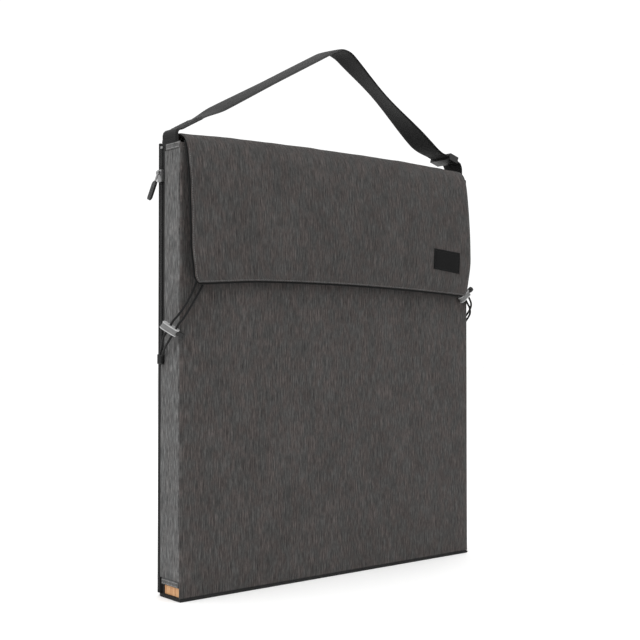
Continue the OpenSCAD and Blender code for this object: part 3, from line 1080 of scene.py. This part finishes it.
@dataclass
class Flap:
    """Cloth over the mouth that folds down over the front, with its lining, patch and pegs."""

    finishes: Finishes
    left: float = -0.262
    right: float = 0.256
    cloth: float = 0.0024
    lining: float = 0.0016
    corner: float = 0.013
    taper: Pair = (0.005, 0.007)
    taper_over: float = 0.055
    # The outer cloth stops this short of the left and lower edges, so a strip of black lining shows
    # there: partly the lining's own edge, partly a dark strip standing in for the shadow under the
    # flap's edge.
    short: Pair = (0.002, 0.0025)
    crown: float = 0.0042
    fine: int = 40
    fold_knots: int = 6
    patch: Pair = (0.056, 0.029)
    patch_at: Pair = (0.202, 0.457)
    patch_lean: float = -0.06

    def __post_init__(self) -> None:
        """Lays the sheet's length along its middle section."""
        knots = self.section(0.0)
        count = self.fine * (len(knots) - 1)
        dense = [self.on_section(0.0, k / self.fine) for k in range(count + 1)]
        self.lengths = run_of(dense)
        self.length = self.lengths[-1]

    def section(self, x: float) -> list[Vector]:
        """Points of the sheet's middle across the mouth and down the front, at a width."""
        ridge = self.crown * (1 - (x / 0.235) ** 2) - 0.0008 * ease((abs(x) - 0.2) / 0.06)
        bulge = ease((-0.14 - x) / 0.12)
        sag = 0.006 * (1 - ((x + 0.07) / 0.24) ** 2) - 0.001 - 0.0035 * bulge
        flat = [
            (0.0262, 0.5905, 0, 0, 0), (0.0258, 0.5945, 0.3, 0, 0), (0.0215, 0.5978, 0.7, 0, 0),
            (0.0100, 0.5990, 1, 0, 0), (-0.0060, 0.5990, 1, 0, 0), (-0.0190, 0.5975, 0.8, 0, 0),
            (-0.0272, 0.5918, 0.4, 0.2, 0), (-0.0327, 0.5810, 0.1, 0.4, 0),
            (-0.0362, 0.5620, 0, 0.6, 0), (-0.0398, 0.5320, 0, 0.6, 0),
            (-0.0424, 0.5000, 0, 0.5, 0.1), (-0.0434, 0.4680, 0, 0.6, 0.3),
            (-0.0428, 0.4350, 0, 1.0, 0.7), (-0.0410, 0.4040, 0, 1.5, 1.0),
        ]
        return [Vector((x, y - 0.0042 * out * bulge, z + ridge * up + sag * down))
                for y, z, up, out, down in flat]

    def on_section(self, x: float, t: float) -> Vector:
        """The point of the sheet's middle at a width, t knots along it."""
        knots = self.section(x)
        k = min(int(t), len(knots) - 2)
        f = t - k
        b, c = knots[k], knots[k + 1]
        a = knots[k - 1] if k else 2 * b - c
        d = knots[k + 2] if k + 2 < len(knots) else 2 * c - b
        return 0.5 * ((2 * b) + (c - a) * f + (2 * a - 5 * b + 4 * c - d) * f * f
                      + (3 * b - a - 3 * c + d) * f ** 3)

    def knot_at(self, s: float) -> float:
        """How many knots along the sheet a length is."""
        s = min(max(s, 0.0), self.length)
        low, high = 0, len(self.lengths) - 1
        while high - low > 1:
            mid = (low + high) // 2
            low, high = (mid, high) if self.lengths[mid] <= s else (low, mid)
        share = (s - self.lengths[low]) / (self.lengths[high] - self.lengths[low])
        return (low + share) / self.fine

    def length_at(self, z: float) -> float:
        """The length at which the hanging part of the middle section passes a height."""
        hanging = range(self.fold_knots * self.fine + 1, len(self.lengths))
        nearest = min(hanging, key=lambda k: abs(self.on_section(0.0, k / self.fine).z - z))
        return self.lengths[nearest]

    def surface(self, x: float, s: float) -> tuple[Vector, Vector]:
        """The sheet's middle and its outward normal, at a width and a length along it."""
        t = self.knot_at(s)
        point = self.on_section(x, t)
        near, beside = 0.05, 0.004
        last = len(self.lengths) / self.fine - 0.03
        down = self.on_section(x, min(t + near, last)) - self.on_section(x, max(t - near, 0.0))
        side = self.on_section(x + beside, t) - self.on_section(x - beside, t)
        normal = down.cross(side).normalized()
        crumple = 0.0011 * wander(point, 0.11, 1.5) + 0.0003 * wander(point, 0.028, 6.0)
        fold = ease(1 - abs(point.z - 0.596) / 0.03)
        crumple += 0.0005 * fold * wander(point, 0.018, 9.0)
        return point + normal * crumple, normal

    def outline(self, x: float, s: float) -> float:
        """Where a place across the sheet lies once its drop tapers and its corners are round."""
        left = self.length - s
        late = max(0.0, self.corner - left)
        cut = self.corner - math.sqrt(self.corner ** 2 - late ** 2)
        drawn = ease(1 - left / self.taper_over)
        low = self.left + self.taper[0] * drawn + cut
        high = self.right - self.taper[1] * drawn - cut
        return lerp(low, high, (x - self.left) / (self.right - self.left))

    def layer(
        self, name: str, depth: float, thick: float, start: float, rim: float,
        short: Pair = (0.0, 0.0)
    ) -> bpy.types.Object:
        """One layer of the flap.

        Args:
            name: the name of the piece.
            depth: how far inside the sheet's middle the layer lies.
            thick: its thickness.
            start: the length along the sheet where it begins.
            rim: the radius over which its rim turns.
            short: how far it stops short of the flap's left and lower edges.

        Returns:
            The new object.
        """
        left, end = self.left + short[0], self.length - short[1]
        us = steps(left, self.right, rim, 0.0065)
        vs = steps(start, end, rim, 0.005)
        round_off = (self.length - self.corner * k / 12 for k in range(1, 12))
        vs = sorted({*vs, *(v for v in round_off if v < end - rim)})

        def place(u: float, v: float) -> tuple[Vector, Vector]:
            """The layer's middle at a place, and its outward normal."""
            point, normal = self.surface(self.outline(u, v), v)
            return point - normal * depth, normal

        def skins(u: float, v: float) -> Pair:
            """Half the layer's thickness on each side, less at its rim."""
            inside = min(u - left, self.right - u, v - start, end - v)
            height = thick / 2 * rim_height(inside, rim)
            return height, height

        return padded_sheet(name, us, vs, place, skins)

    def across_fold(self, piece: bpy.types.Object) -> None:
        """Bakes a piece's placing into its mesh."""
        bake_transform(piece)

    def sheet(self) -> None:
        """The outer cloth from the back seam to the flap's lower edge."""
        # The cloth stops short so that the black lining shows past it: partly the lining's edge,
        # partly a dark strip standing in for the shadow under the flap's edge.
        cloth = self.layer("flap_cloth", 0.0, self.cloth, 0.0, 0.0011, self.short)
        cloth.data.materials.append(self.finishes.shell_sewn)
        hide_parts("flap_panel", "top_strip")
        self.across_fold(cloth)

    def inside(self) -> None:
        """The black lining behind the hanging part."""
        depth = (self.cloth + self.lining) / 2
        start = self.length_at(0.590)
        lining = self.layer("flap_lining.cloth", depth, self.lining, start, 0.0008)
        lining.data.materials.append(self.finishes.lining)
        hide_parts("flap_lining")
        self.across_fold(lining)

    def border(self) -> None:
        """The row of stitches that runs just inside the flap's edge."""
        inset = 0.0034
        top, low = self.length_at(0.575), self.length - self.short[1] - 0.0016
        us = (self.left + inset, self.right - inset)
        count = 90
        route = [(us[0], lerp(top, low, k / count)) for k in range(count)]
        route += [(lerp(*us, k / count), low) for k in range(count)]
        route += [(us[1], lerp(low, top, k / count)) for k in range(count + 1)]
        line = []
        for x, s in route:
            point, normal = self.surface(self.outline(x, s), s)
            line.append(point + normal * (self.cloth / 2 + 0.0001))
        rows = STITCH.along("flap_border_stitches", [line], self.finishes.thread)
        self.across_fold(rows)

    def label(self) -> None:
        """The leather patch, its border pressed in."""
        half_w, half_h = self.patch[0] / 2, self.patch[1] / 2
        middle = self.length_at(self.patch_at[1])
        thick, groove_in, groove = 0.0012, 0.0028, 0.0009
        turned = Matrix.Rotation(self.patch_lean, 2)

        def place(u: float, v: float) -> tuple[Vector, Vector]:
            """The patch's underside on the flap, and its outward normal."""
            du, dv = turned @ Vector((u, -v))
            point, normal = self.surface(self.patch_at[0] + du, middle - dv)
            return point + normal * (self.cloth / 2 + 0.0001), normal

        def skins(u: float, v: float) -> Pair:
            """The patch's thickness, with a pressed line round it."""
            inside = min(half_w - abs(u), half_h - abs(v))
            pressed = 0.00045 * math.exp(-((inside - groove_in) / groove * 2) ** 2)
            stuffed = 0.00015 * ease((inside - groove_in) / 0.006)
            return thick * rim_height(inside, 0.0009) - pressed + stuffed, 0.0001

        def fine(half: float) -> list[float]:
            """Places across the patch, close together over the pressed line."""
            line = [half - groove_in + groove * k / 4 for k in range(-5, 6)]
            return sorted({*steps(-half, half, 0.0009, 0.002), *line, *(-p for p in line)})

        patch = padded_sheet("label_patch.leather", fine(half_w), fine(half_h), place, skins)
        dress(patch, self.finishes.hide, "patch_leather", FLAP, "label_patch")

    def peg(self, side: str) -> None:
        """A moulded peg that a cord loop hooks over, riveted through the lining."""
        low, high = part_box(f"{side}_flap_peg")
        x, z = (low.x + high.x) / 2, (low.z + high.z) / 2
        point, _ = self.surface(x, self.length_at(z))
        root = point.y + self.cloth / 2 + self.lining - 0.0006
        tip = high.y
        profile = [(0.0, root - 0.0008), (0.0066, root - 0.0008), (0.0072, root),
                   (0.0070, root + 0.0009), (0.0062, root + 0.0014), (0.0030, root + 0.0017),
                   (0.0025, root + 0.0024), (0.0025, tip - 0.0012), (0.0029, tip - 0.0009),
                   (0.0030, tip - 0.0004), (0.0024, tip), (0.0, tip)]
        sides = 28
        rings = [[Vector((x + r * math.cos(a), y, z + r * math.sin(a)))
                  for a in (2 * math.pi * k / sides for k in range(sides))]
                 for r, y in profile[1:-1]]
        around = [k / sides for k in range(sides + 1)]
        peg = sweep(f"{side}_flap_peg.moulded", rings, around, [y for _, y in profile[1:-1]])
        dress(peg, self.finishes.knob, "black_plastic", FLAP, f"{side}_flap_peg")

    def build(self) -> None:
        """Builds the flap."""
        self.sheet()
        self.inside()
        self.border()
        self.label()
        for side in ("left", "right"):
            self.peg(side)
        LOG.info("flap: cloth %.3f m long, lining, stitches, patch and pegs", self.length)


# ---- The carry strap ----------------------------------------------------------------


@dataclass
class CarryStrap:
    """Webbing strap from one side's hem to the other, with its ladder buckle."""

    finishes: Finishes
    width: float = 0.038
    thick: float = 0.0024
    doubled: float = 0.0036
    hem_x: float = 0.264
    foot_left: Pair = (-0.250, 0.6085)
    crown: Pair = (0.019, 0.759)
    knee: Pair = (0.205, 0.629)
    foot_right: Pair = (0.256, 0.614)
    turn_start: float = 0.246
    turn_end: float = 0.206
    twists: Sequence[Pair] = ((-0.226, 0.0), (-0.19, -0.0085), (-0.09, -0.0053), (-0.01, -0.0053),
                              (0.03, 0.002), (0.10, -0.0065), (0.19, 0.0075), (0.226, 0.0))

    def twist(self, x: float) -> float:
        """How much higher the webbing's front edge hangs than its back edge, above x."""
        for (x0, rise0), (x1, rise1) in zip(self.twists, self.twists[1:]):
            if x0 <= x <= x1:
                return lerp(rise0, rise1, ease((x - x0) / (x1 - x0)))
        return 0.0

    @staticmethod
    def on_line(a: Pair, b: Pair, x: float) -> Vector:
        """The point above x on the line from a to b."""
        return Vector((x, 0, a[1] + (b[1] - a[1]) * (x - a[0]) / (b[0] - a[0])))

    def left_half(self) -> list[Vector]:
        """The middle of the webbing from the left hem to the crown."""
        turn = self.on_line(self.foot_left, self.crown, -0.256)
        start, corner = Vector((-self.hem_x, 0, 0.598)), Vector((-self.hem_x, 0, turn.z - 0.001))
        rise = [self.on_line(self.foot_left, self.crown, x) for x in (-0.24, -0.15, -0.06)]
        return [Vector((-self.hem_x + 0.002, 0, 0.5795)), Vector((-self.hem_x + 0.0006, 0, 0.5865)),
                *bend(start, corner, turn, 3), *rise, *self.over_crown()[:7]]

    def right_half(self) -> list[Vector]:
        """The middle of the webbing from the crown to the right hem."""
        turn = self.on_line(self.knee, self.foot_right, 0.256)
        start, corner = Vector((self.hem_x, 0, 0.598)), Vector((self.hem_x, 0, turn.z - 0.001))
        fall = [self.on_line(self.crown, self.knee, x) for x in (0.09, 0.14)]
        knee = Vector((self.knee[0], 0, self.knee[1]))
        bow = bend(self.on_line(self.crown, self.knee, 0.185), knee,
                   self.on_line(self.knee, self.foot_right, 0.224), 4)
        return [*self.over_crown()[6:], *fall, *bow, *bend(turn, corner, start, 3),
                Vector((self.hem_x - 0.0006, 0, 0.5865)), Vector((self.hem_x - 0.002, 0, 0.5795))]

    def over_crown(self) -> list[Vector]:
        """The bend at the strap's crown."""
        top = Vector((self.crown[0], 0, self.crown[1] + 0.002))
        return bend(self.on_line(self.foot_left, self.crown, -0.006), top,
                    self.on_line(self.crown, self.knee, 0.042), 12)

    def band(self, name: str, route: Sequence[Vector], start: float) -> bpy.types.Object:
        """Webbing along a route, doubled towards its hem, slightly cupped and twisted.

        Args:
            name: the name of the piece.
            route: the middle of the webbing.
            start: the pattern's length at the first point.

        Returns:
            The new object.
        """
        path = smooth_path(route, 0.004)
        half = self.width / 2
        ways = [k / 14 * 2 - 1 for k in range(15)]
        rings = []
        for i, point in enumerate(path):
            heading = (path[min(i + 1, len(path) - 1)] - path[max(i - 1, 0)]).normalized()
            up = Vector((-heading.z, 0, heading.x))
            sewn = ease((abs(point.x) - 0.2235) / 0.003)
            thick = lerp(self.thick, self.doubled, sewn) / 2
            free = 1 - ease((abs(point.x) - 0.19) / 0.06)
            ring = []
            for sign in (1, -1):
                for way in ways if sign > 0 else ways[::-1]:
                    edge = math.sqrt(max(0.0, 1 - max(0.0, (abs(way) - 0.9) / 0.1) ** 2))
                    cup = -0.0009 * free * way * way
                    roll = 0.0005 * free * way * wander(point, 0.16, 3.0)
                    roll -= self.twist(point.x) * way / 2
                    ring.append(point + Vector((0, half * way, 0))
                                + up * (sign * thick * edge + cup + roll))
            rings.append(ring)
        tall = [half * w for w in ways]
        around = [*tall, *tall[::-1], tall[0]]
        return sweep(name, rings, around, [start + r for r in run_of(path)])

    def box_stitch(
        self, x0: float, x1: float, line: tuple[Pair, Pair], lift: float
    ) -> Stitches:
        """A sewn square with a cross in it, on one face of the doubled webbing.

        Args:
            x0: where it starts along X.
            x1: where it ends along X.
            line: two points of the webbing's middle there.
            lift: how far the face stands from the middle.

        Returns:
            The rows of stitches.
        """
        half = self.width / 2 - 0.004
        slope = (self.on_line(*line, x1) - self.on_line(*line, x0)).normalized()
        up = Vector((-slope.z, 0, slope.x))
        if up.z < 0:
            up = -up
        a, b = self.on_line(*line, x0) + up * lift, self.on_line(*line, x1) + up * lift
        side = Vector((0, half, 0))
        corners = [a - side, b - side, b + side, a + side, a - side]
        return [corners, [a - side, b + side], [a + side, b - side]]

    def build(self) -> None:
        """Builds the strap, its stitches and its buckle."""
        halves = (("left", self.left_half(), ("strap_webbing", "left_strap_anchor"), -1),
                  ("right", self.right_half(), ("right_strap_anchor",), 1))
        for side, route, nodes, sign in halves:
            band = self.band(f"{side}_strap.webbing", route, 0.0 if sign < 0 else 0.4)
            band.data.materials.append(self.finishes.webbing)
            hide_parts(*nodes)
            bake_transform(band)
        lift = self.doubled / 2 + 0.0001
        sewn = [*self.box_stitch(-0.251, -0.2265, (self.foot_left, self.crown), lift)]
        hem = [[Vector((sign * (self.hem_x + lift), y, z)) for y in (-0.015, 0.0, 0.015)]
               for sign in (-1, 1) for z in (0.5895, 0.5945)]
        rows = STITCH.along("strap_stitches", [*sewn, *hem], self.finishes.black_thread)
        dress(rows, self.finishes.black_thread, "webbing", CASE)
        buckle = eased_copy("strap_buckle", "strap_buckle.moulded", 0.0008)
        dress(buckle, self.finishes.knob, "black_plastic", CASE, "strap_buckle")
        LOG.info("carry strap: two halves of webbing, stitches and buckle")


# ---- The zip ------------------------------------------------------------------------


@dataclass
class Zip:
    """Coil zip down the back pocket's left edge, with its slider, pull and finger tab."""

    finishes: Finishes
    tooth_pitch: float = 0.0014
    lean: float = 20.0
    stitch_in: float = 0.003
    coil_in: float = 0.0005
    run_pitch: float = 0.02

    def tapes(self) -> None:
        """The two tapes and the stitches that hold them."""
        lines = []
        for node in ("zip_tape_front", "zip_tape_back"):
            low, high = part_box(node)
            piece = padded_box(f"{node}.cloth", low, high, Axis.X, 0.0004, 0.0022)
            dress(piece, self.finishes.black, "black_cloth", CASE, node)
            y = low.y + 0.0016 if node.endswith("front") else high.y - 0.00035
            x = low.x - 0.0001
            ends = [Vector((x, y, low.z + self.stitch_in)),
                    Vector((x, y, high.z - self.stitch_in))]
            lines.append(straight_runs(ends, self.run_pitch))
        rows = STITCH.along("zip_tape_stitches", lines, self.finishes.black_thread)
        dress(rows, self.finishes.black_thread, "black_cloth", CASE)

    def coil(self) -> None:
        """The meshed coil's turns, leaning one way on each side."""
        low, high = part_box("zip_coil")
        middle, x = (low.y + high.y) / 2, (low.x + high.x) / 2
        for sign, label in ((-1, "front"), (1, "back")):
            row = RowOf(self.tooth_pitch, (0.00056, 0.00145, 0.00088), turn=sign * 0.16)
            y = middle + sign * 0.0011
            shift = self.tooth_pitch / 2 * (sign > 0)
            ends = [Vector((x, y, low.z + self.coil_in + shift)),
                    Vector((x, y, high.z - self.coil_in))]
            line = straight_runs(ends, self.run_pitch)
            teeth = row.along(f"zip_coil_{label}", [line], self.finishes.knob)
            dress(teeth, self.finishes.knob, "black_plastic", CASE,
                  *(["zip_coil"] if sign < 0 else []))
        stops = eased_copy("zip_stops", "zip_stops.metal", 0.0004)
        dress(stops, self.finishes.metal, "zip_metal", CASE, "zip_stops")

    def handle(self) -> None:
        """The slider, its pull and the ribbed finger tab."""
        slider = eased_copy("zip_slider", "zip_slider.metal", 0.0005)
        dress(slider, self.finishes.metal, "zip_metal", SLIDER, "zip_slider")
        pull = eased_copy("zip_pull", "zip_pull.metal", 0.0003)
        dress(pull, self.finishes.metal, "zip_metal", PULL, "zip_pull")
        tab = eased_copy("pull_tab", "pull_tab.moulded", 0.0008)
        dress(tab, self.finishes.knob, "black_plastic", PULL, "pull_tab")
        pin = joint("pull_swing")["pos_m"]
        down = Vector((-math.sin(math.radians(self.lean)), 0, -math.cos(math.radians(self.lean))))
        out = Vector((-math.cos(math.radians(self.lean)), 0, math.sin(math.radians(self.lean))))
        ribs = RowOf(0.0021, (0.0005, 0.0031, 0.0005))
        lines = [[Vector(pin) + down * d + out * side * 0.0015 for d in (0.0215, 0.0285, 0.0355)]
                 for side in (1, -1)]
        grips = ribs.along("pull_tab_ribs", lines, self.finishes.knob)
        dress(grips, self.finishes.knob, "black_plastic", PULL)

    def build(self) -> None:
        """Builds the zip."""
        self.tapes()
        self.coil()
        self.handle()
        LOG.info("zip: tapes, coil, slider, pull and tab")


# ---- The flap cords -----------------------------------------------------------------


@dataclass
class FlapCord:
    """Elastic cord from the back seam over a cord lock to a peg under the flap, and back."""

    finishes: Finishes
    side: str
    up: Sequence[tuple[float, float, float]]
    down: Sequence[tuple[float, float, float]]
    peg: tuple[float, float, float]
    loop_start: float
    lock_at: tuple[float, float, float]
    loop_r: float = 0.0052
    diameter: float = 0.003

    def route(self) -> list[Vector]:
        """The cord's middle, from its upper end in the seam to its lower one."""
        angles = [math.radians(self.loop_start - 180 * k / 6) for k in range(7)]
        loop = [Vector((self.peg[0] + self.loop_r * math.cos(a), self.peg[1],
                        self.peg[2] + self.loop_r * math.sin(a))) for a in angles]
        return [*(Vector(p) for p in self.up), *loop, *(Vector(p) for p in self.down)]

    def cord(self) -> None:
        """The braided cord and the doubled tab that sews its ends into the seam."""
        path = smooth_path(self.route(), 0.0014)
        cord = tube(f"{self.side}_cord.braid", path, self.diameter / 2, 12)
        dress(cord, self.finishes.braid, "elastic_cord", CASE, f"{self.side}_cord")
        low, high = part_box(f"{self.side}_cord_anchor")
        tab = padded_box(f"{self.side}_cord_tab.webbing", low, high, Axis.X, 0.0018, 0.0015)
        dress(tab, self.finishes.webbing, "webbing", CASE, f"{self.side}_cord_anchor")

    def lock(self) -> None:
        """The cord lock: a body with two raised rims painted lighter as a highlight, its spring and
        its button.
        """
        centre, up = Vector(self.lock_at), Vector(joint(f"{self.side}_lock_slide")["axis"])
        body = eased_copy(f"{self.side}_lock_body", f"{self.side}_lock_body.moulded", 0.00035)
        dress(body, self.finishes.lock, "grey_plastic", f"{self.side}_lock",
              f"{self.side}_lock_body")
        # Painted highlight: the faces of the two rims get the lighter copy of the grey, standing in
        # for the light they catch.
        body.data.materials.append(self.finishes.lock_rim)
        for face in body.data.polygons:
            face.material_index = int(abs((face.center - centre).dot(up)) > 0.0031)
        button = eased_copy(f"{self.side}_lock_button", f"{self.side}_lock_button.moulded", 0.0007)
        dress(button, self.finishes.knob, "black_plastic", f"{self.side}_button",
              f"{self.side}_lock_button")
        repaint(f"{self.side}_lock_spring", self.finishes.wire)

    def build(self) -> None:
        """Builds one side's cord."""
        self.cord()
        self.lock()
        LOG.info("%s flap cord: cord, tab and lock", self.side)


def left_cord(finishes: Finishes) -> FlapCord:
    """The cord on the left side, whose lock hangs beside the flap's corner."""
    return FlapCord(
        finishes, "left",
        up=[(-0.268, 0.017, 0.313), (-0.2715, 0.009, 0.3195), (-0.277, -0.002, 0.3265),
            (-0.282, -0.012, 0.333), (-0.2832, -0.0176, 0.3375), (-0.2803, -0.0239, 0.3471),
            (-0.2776, -0.0303, 0.3569), (-0.273, -0.033, 0.363), (-0.265, -0.0342, 0.373),
            (-0.254, -0.0336, 0.389), (-0.247, -0.033, 0.402)],
        down=[(-0.237, -0.033, 0.400), (-0.247, -0.0338, 0.385), (-0.258, -0.035, 0.370),
              (-0.2665, -0.0355, 0.359), (-0.2723, -0.0346, 0.3526), (-0.275, -0.0282, 0.3428),
              (-0.2777, -0.0218, 0.333), (-0.2765, -0.013, 0.327), (-0.273, -0.001, 0.320),
              (-0.2695, 0.008, 0.314), (-0.268, 0.013, 0.3095)],
        peg=(-0.238, -0.033, 0.411), loop_start=143,
        lock_at=(-0.279, -0.025, 0.346),
    )


def right_cord(finishes: Finishes) -> FlapCord:
    """The cord on the right side, whose lock is tucked under the flap's corner."""
    return FlapCord(
        finishes, "right",
        up=[(0.268, 0.013, 0.3215), (0.269, 0.005, 0.336), (0.271, -0.006, 0.350),
            (0.2725, -0.018, 0.363), (0.271, -0.028, 0.374), (0.266, -0.0322, 0.383),
            (0.2596, -0.0328, 0.3912), (0.2524, -0.0328, 0.4008), (0.2452, -0.0328, 0.4104)],
        down=[(0.2516, -0.0328, 0.4152), (0.2588, -0.0328, 0.4056), (0.266, -0.0328, 0.396),
              (0.2708, -0.031, 0.389), (0.2742, -0.025, 0.381), (0.2746, -0.014, 0.369),
              (0.272, -0.001, 0.354), (0.2693, 0.009, 0.339), (0.268, 0.017, 0.325)],
        peg=(0.240, -0.0328, 0.424), loop_start=217,
        lock_at=(0.254, -0.0328, 0.402),
    )


# ---- The studio ---------------------------------------------------------------------


@dataclass
class Studio:
    """Floor, soft lights and camera."""

    eye: tuple[float, float, float] = (-1.0336, -1.2311, 0.3296)
    heading: float = 0.6924
    rise: float = 0.0198
    lens: float = 62.8

    def floor(self) -> None:
        """A plain pale floor, level all the way."""
        reach = 14.0
        points = [Vector((x, y, 0)) for y in (-8, 4, 9) for x in (-reach, reach)]
        faces = [[0, 1, 3, 2], [2, 3, 5, 4]]
        floor = mesh_object("floor", points, faces, [[(0, 0)] * 4] * 2)
        bench = Bench("floor_paper", roughness=0.9)
        tone = bench.noise(bench.frame_place((3, 3, 3)), detail=2)
        bench.colour(bench.ramp(tone, [(0.3, (0.92, 0.92, 0.917)), (0.7, (0.94, 0.94, 0.937))]))
        floor.data.materials.append(bench.material)
        for face in floor.data.polygons:
            if face.normal.z < 0:
                face.flip()

    @staticmethod
    def lamp(
        name: str, at: Sequence[float], aim: Sequence[float], size: float, power: float
    ) -> None:
        """A square soft light.

        Args:
            name: the lamp's name.
            at: its place.
            aim: the point that it faces.
            size: its side.
            power: its power in watts.
        """
        data = bpy.data.lights.new(name, "AREA")
        data.shape = "SQUARE"
        data.size = size
        data.energy = power
        lamp = bpy.data.objects.new(name, data)
        lamp.location = at
        lamp.rotation_euler = (Vector(aim) - Vector(at)).to_track_quat("-Z", "Y").to_euler()
        bpy.context.collection.objects.link(lamp)

    def lights(self) -> None:
        """A pale surround, a soft key from the left and a weak light from above."""
        world = bpy.data.worlds.new("studio")
        world.use_nodes = True
        world.node_tree.nodes["Background"].inputs["Color"].default_value = (1, 1, 1, 1)
        world.node_tree.nodes["Background"].inputs["Strength"].default_value = 1.08
        bpy.context.scene.world = world
        self.lamp("key", (-2.6, -1.3, 2.2), (0, 0, 0.3), 2.2, 42)
        self.lamp("top", (0.2, -0.3, 3.2), (0, 0, 0.2), 3.0, 34)

    def camera(self) -> None:
        """The camera, at the height of the case's middle and to its left."""
        data = bpy.data.cameras.new("camera")
        data.lens = self.lens
        data.sensor_width = 36
        camera = bpy.data.objects.new("camera", data)
        camera.location = self.eye
        camera.rotation_euler = (math.pi / 2 + self.rise, 0, -self.heading)
        bpy.context.collection.objects.link(camera)
        bpy.context.scene.camera = camera

    def build(self) -> None:
        """Builds the studio."""
        self.floor()
        self.lights()
        self.camera()
        bpy.context.scene.view_settings.view_transform = "Standard"
        LOG.info("studio: floor, lights and camera")


def main() -> None:
    """Builds every piece."""
    logging.basicConfig(level=logging.INFO, format="%(message)s")
    Studio().build()
    finishes = Finishes.make()
    for part in (
        left_cord(finishes), right_cord(finishes), Shell(finishes), Boards(finishes),
        Flap(finishes), CarryStrap(finishes), Zip(finishes),
    ):
        part.build()


if __name__ == "__main__":
    main()
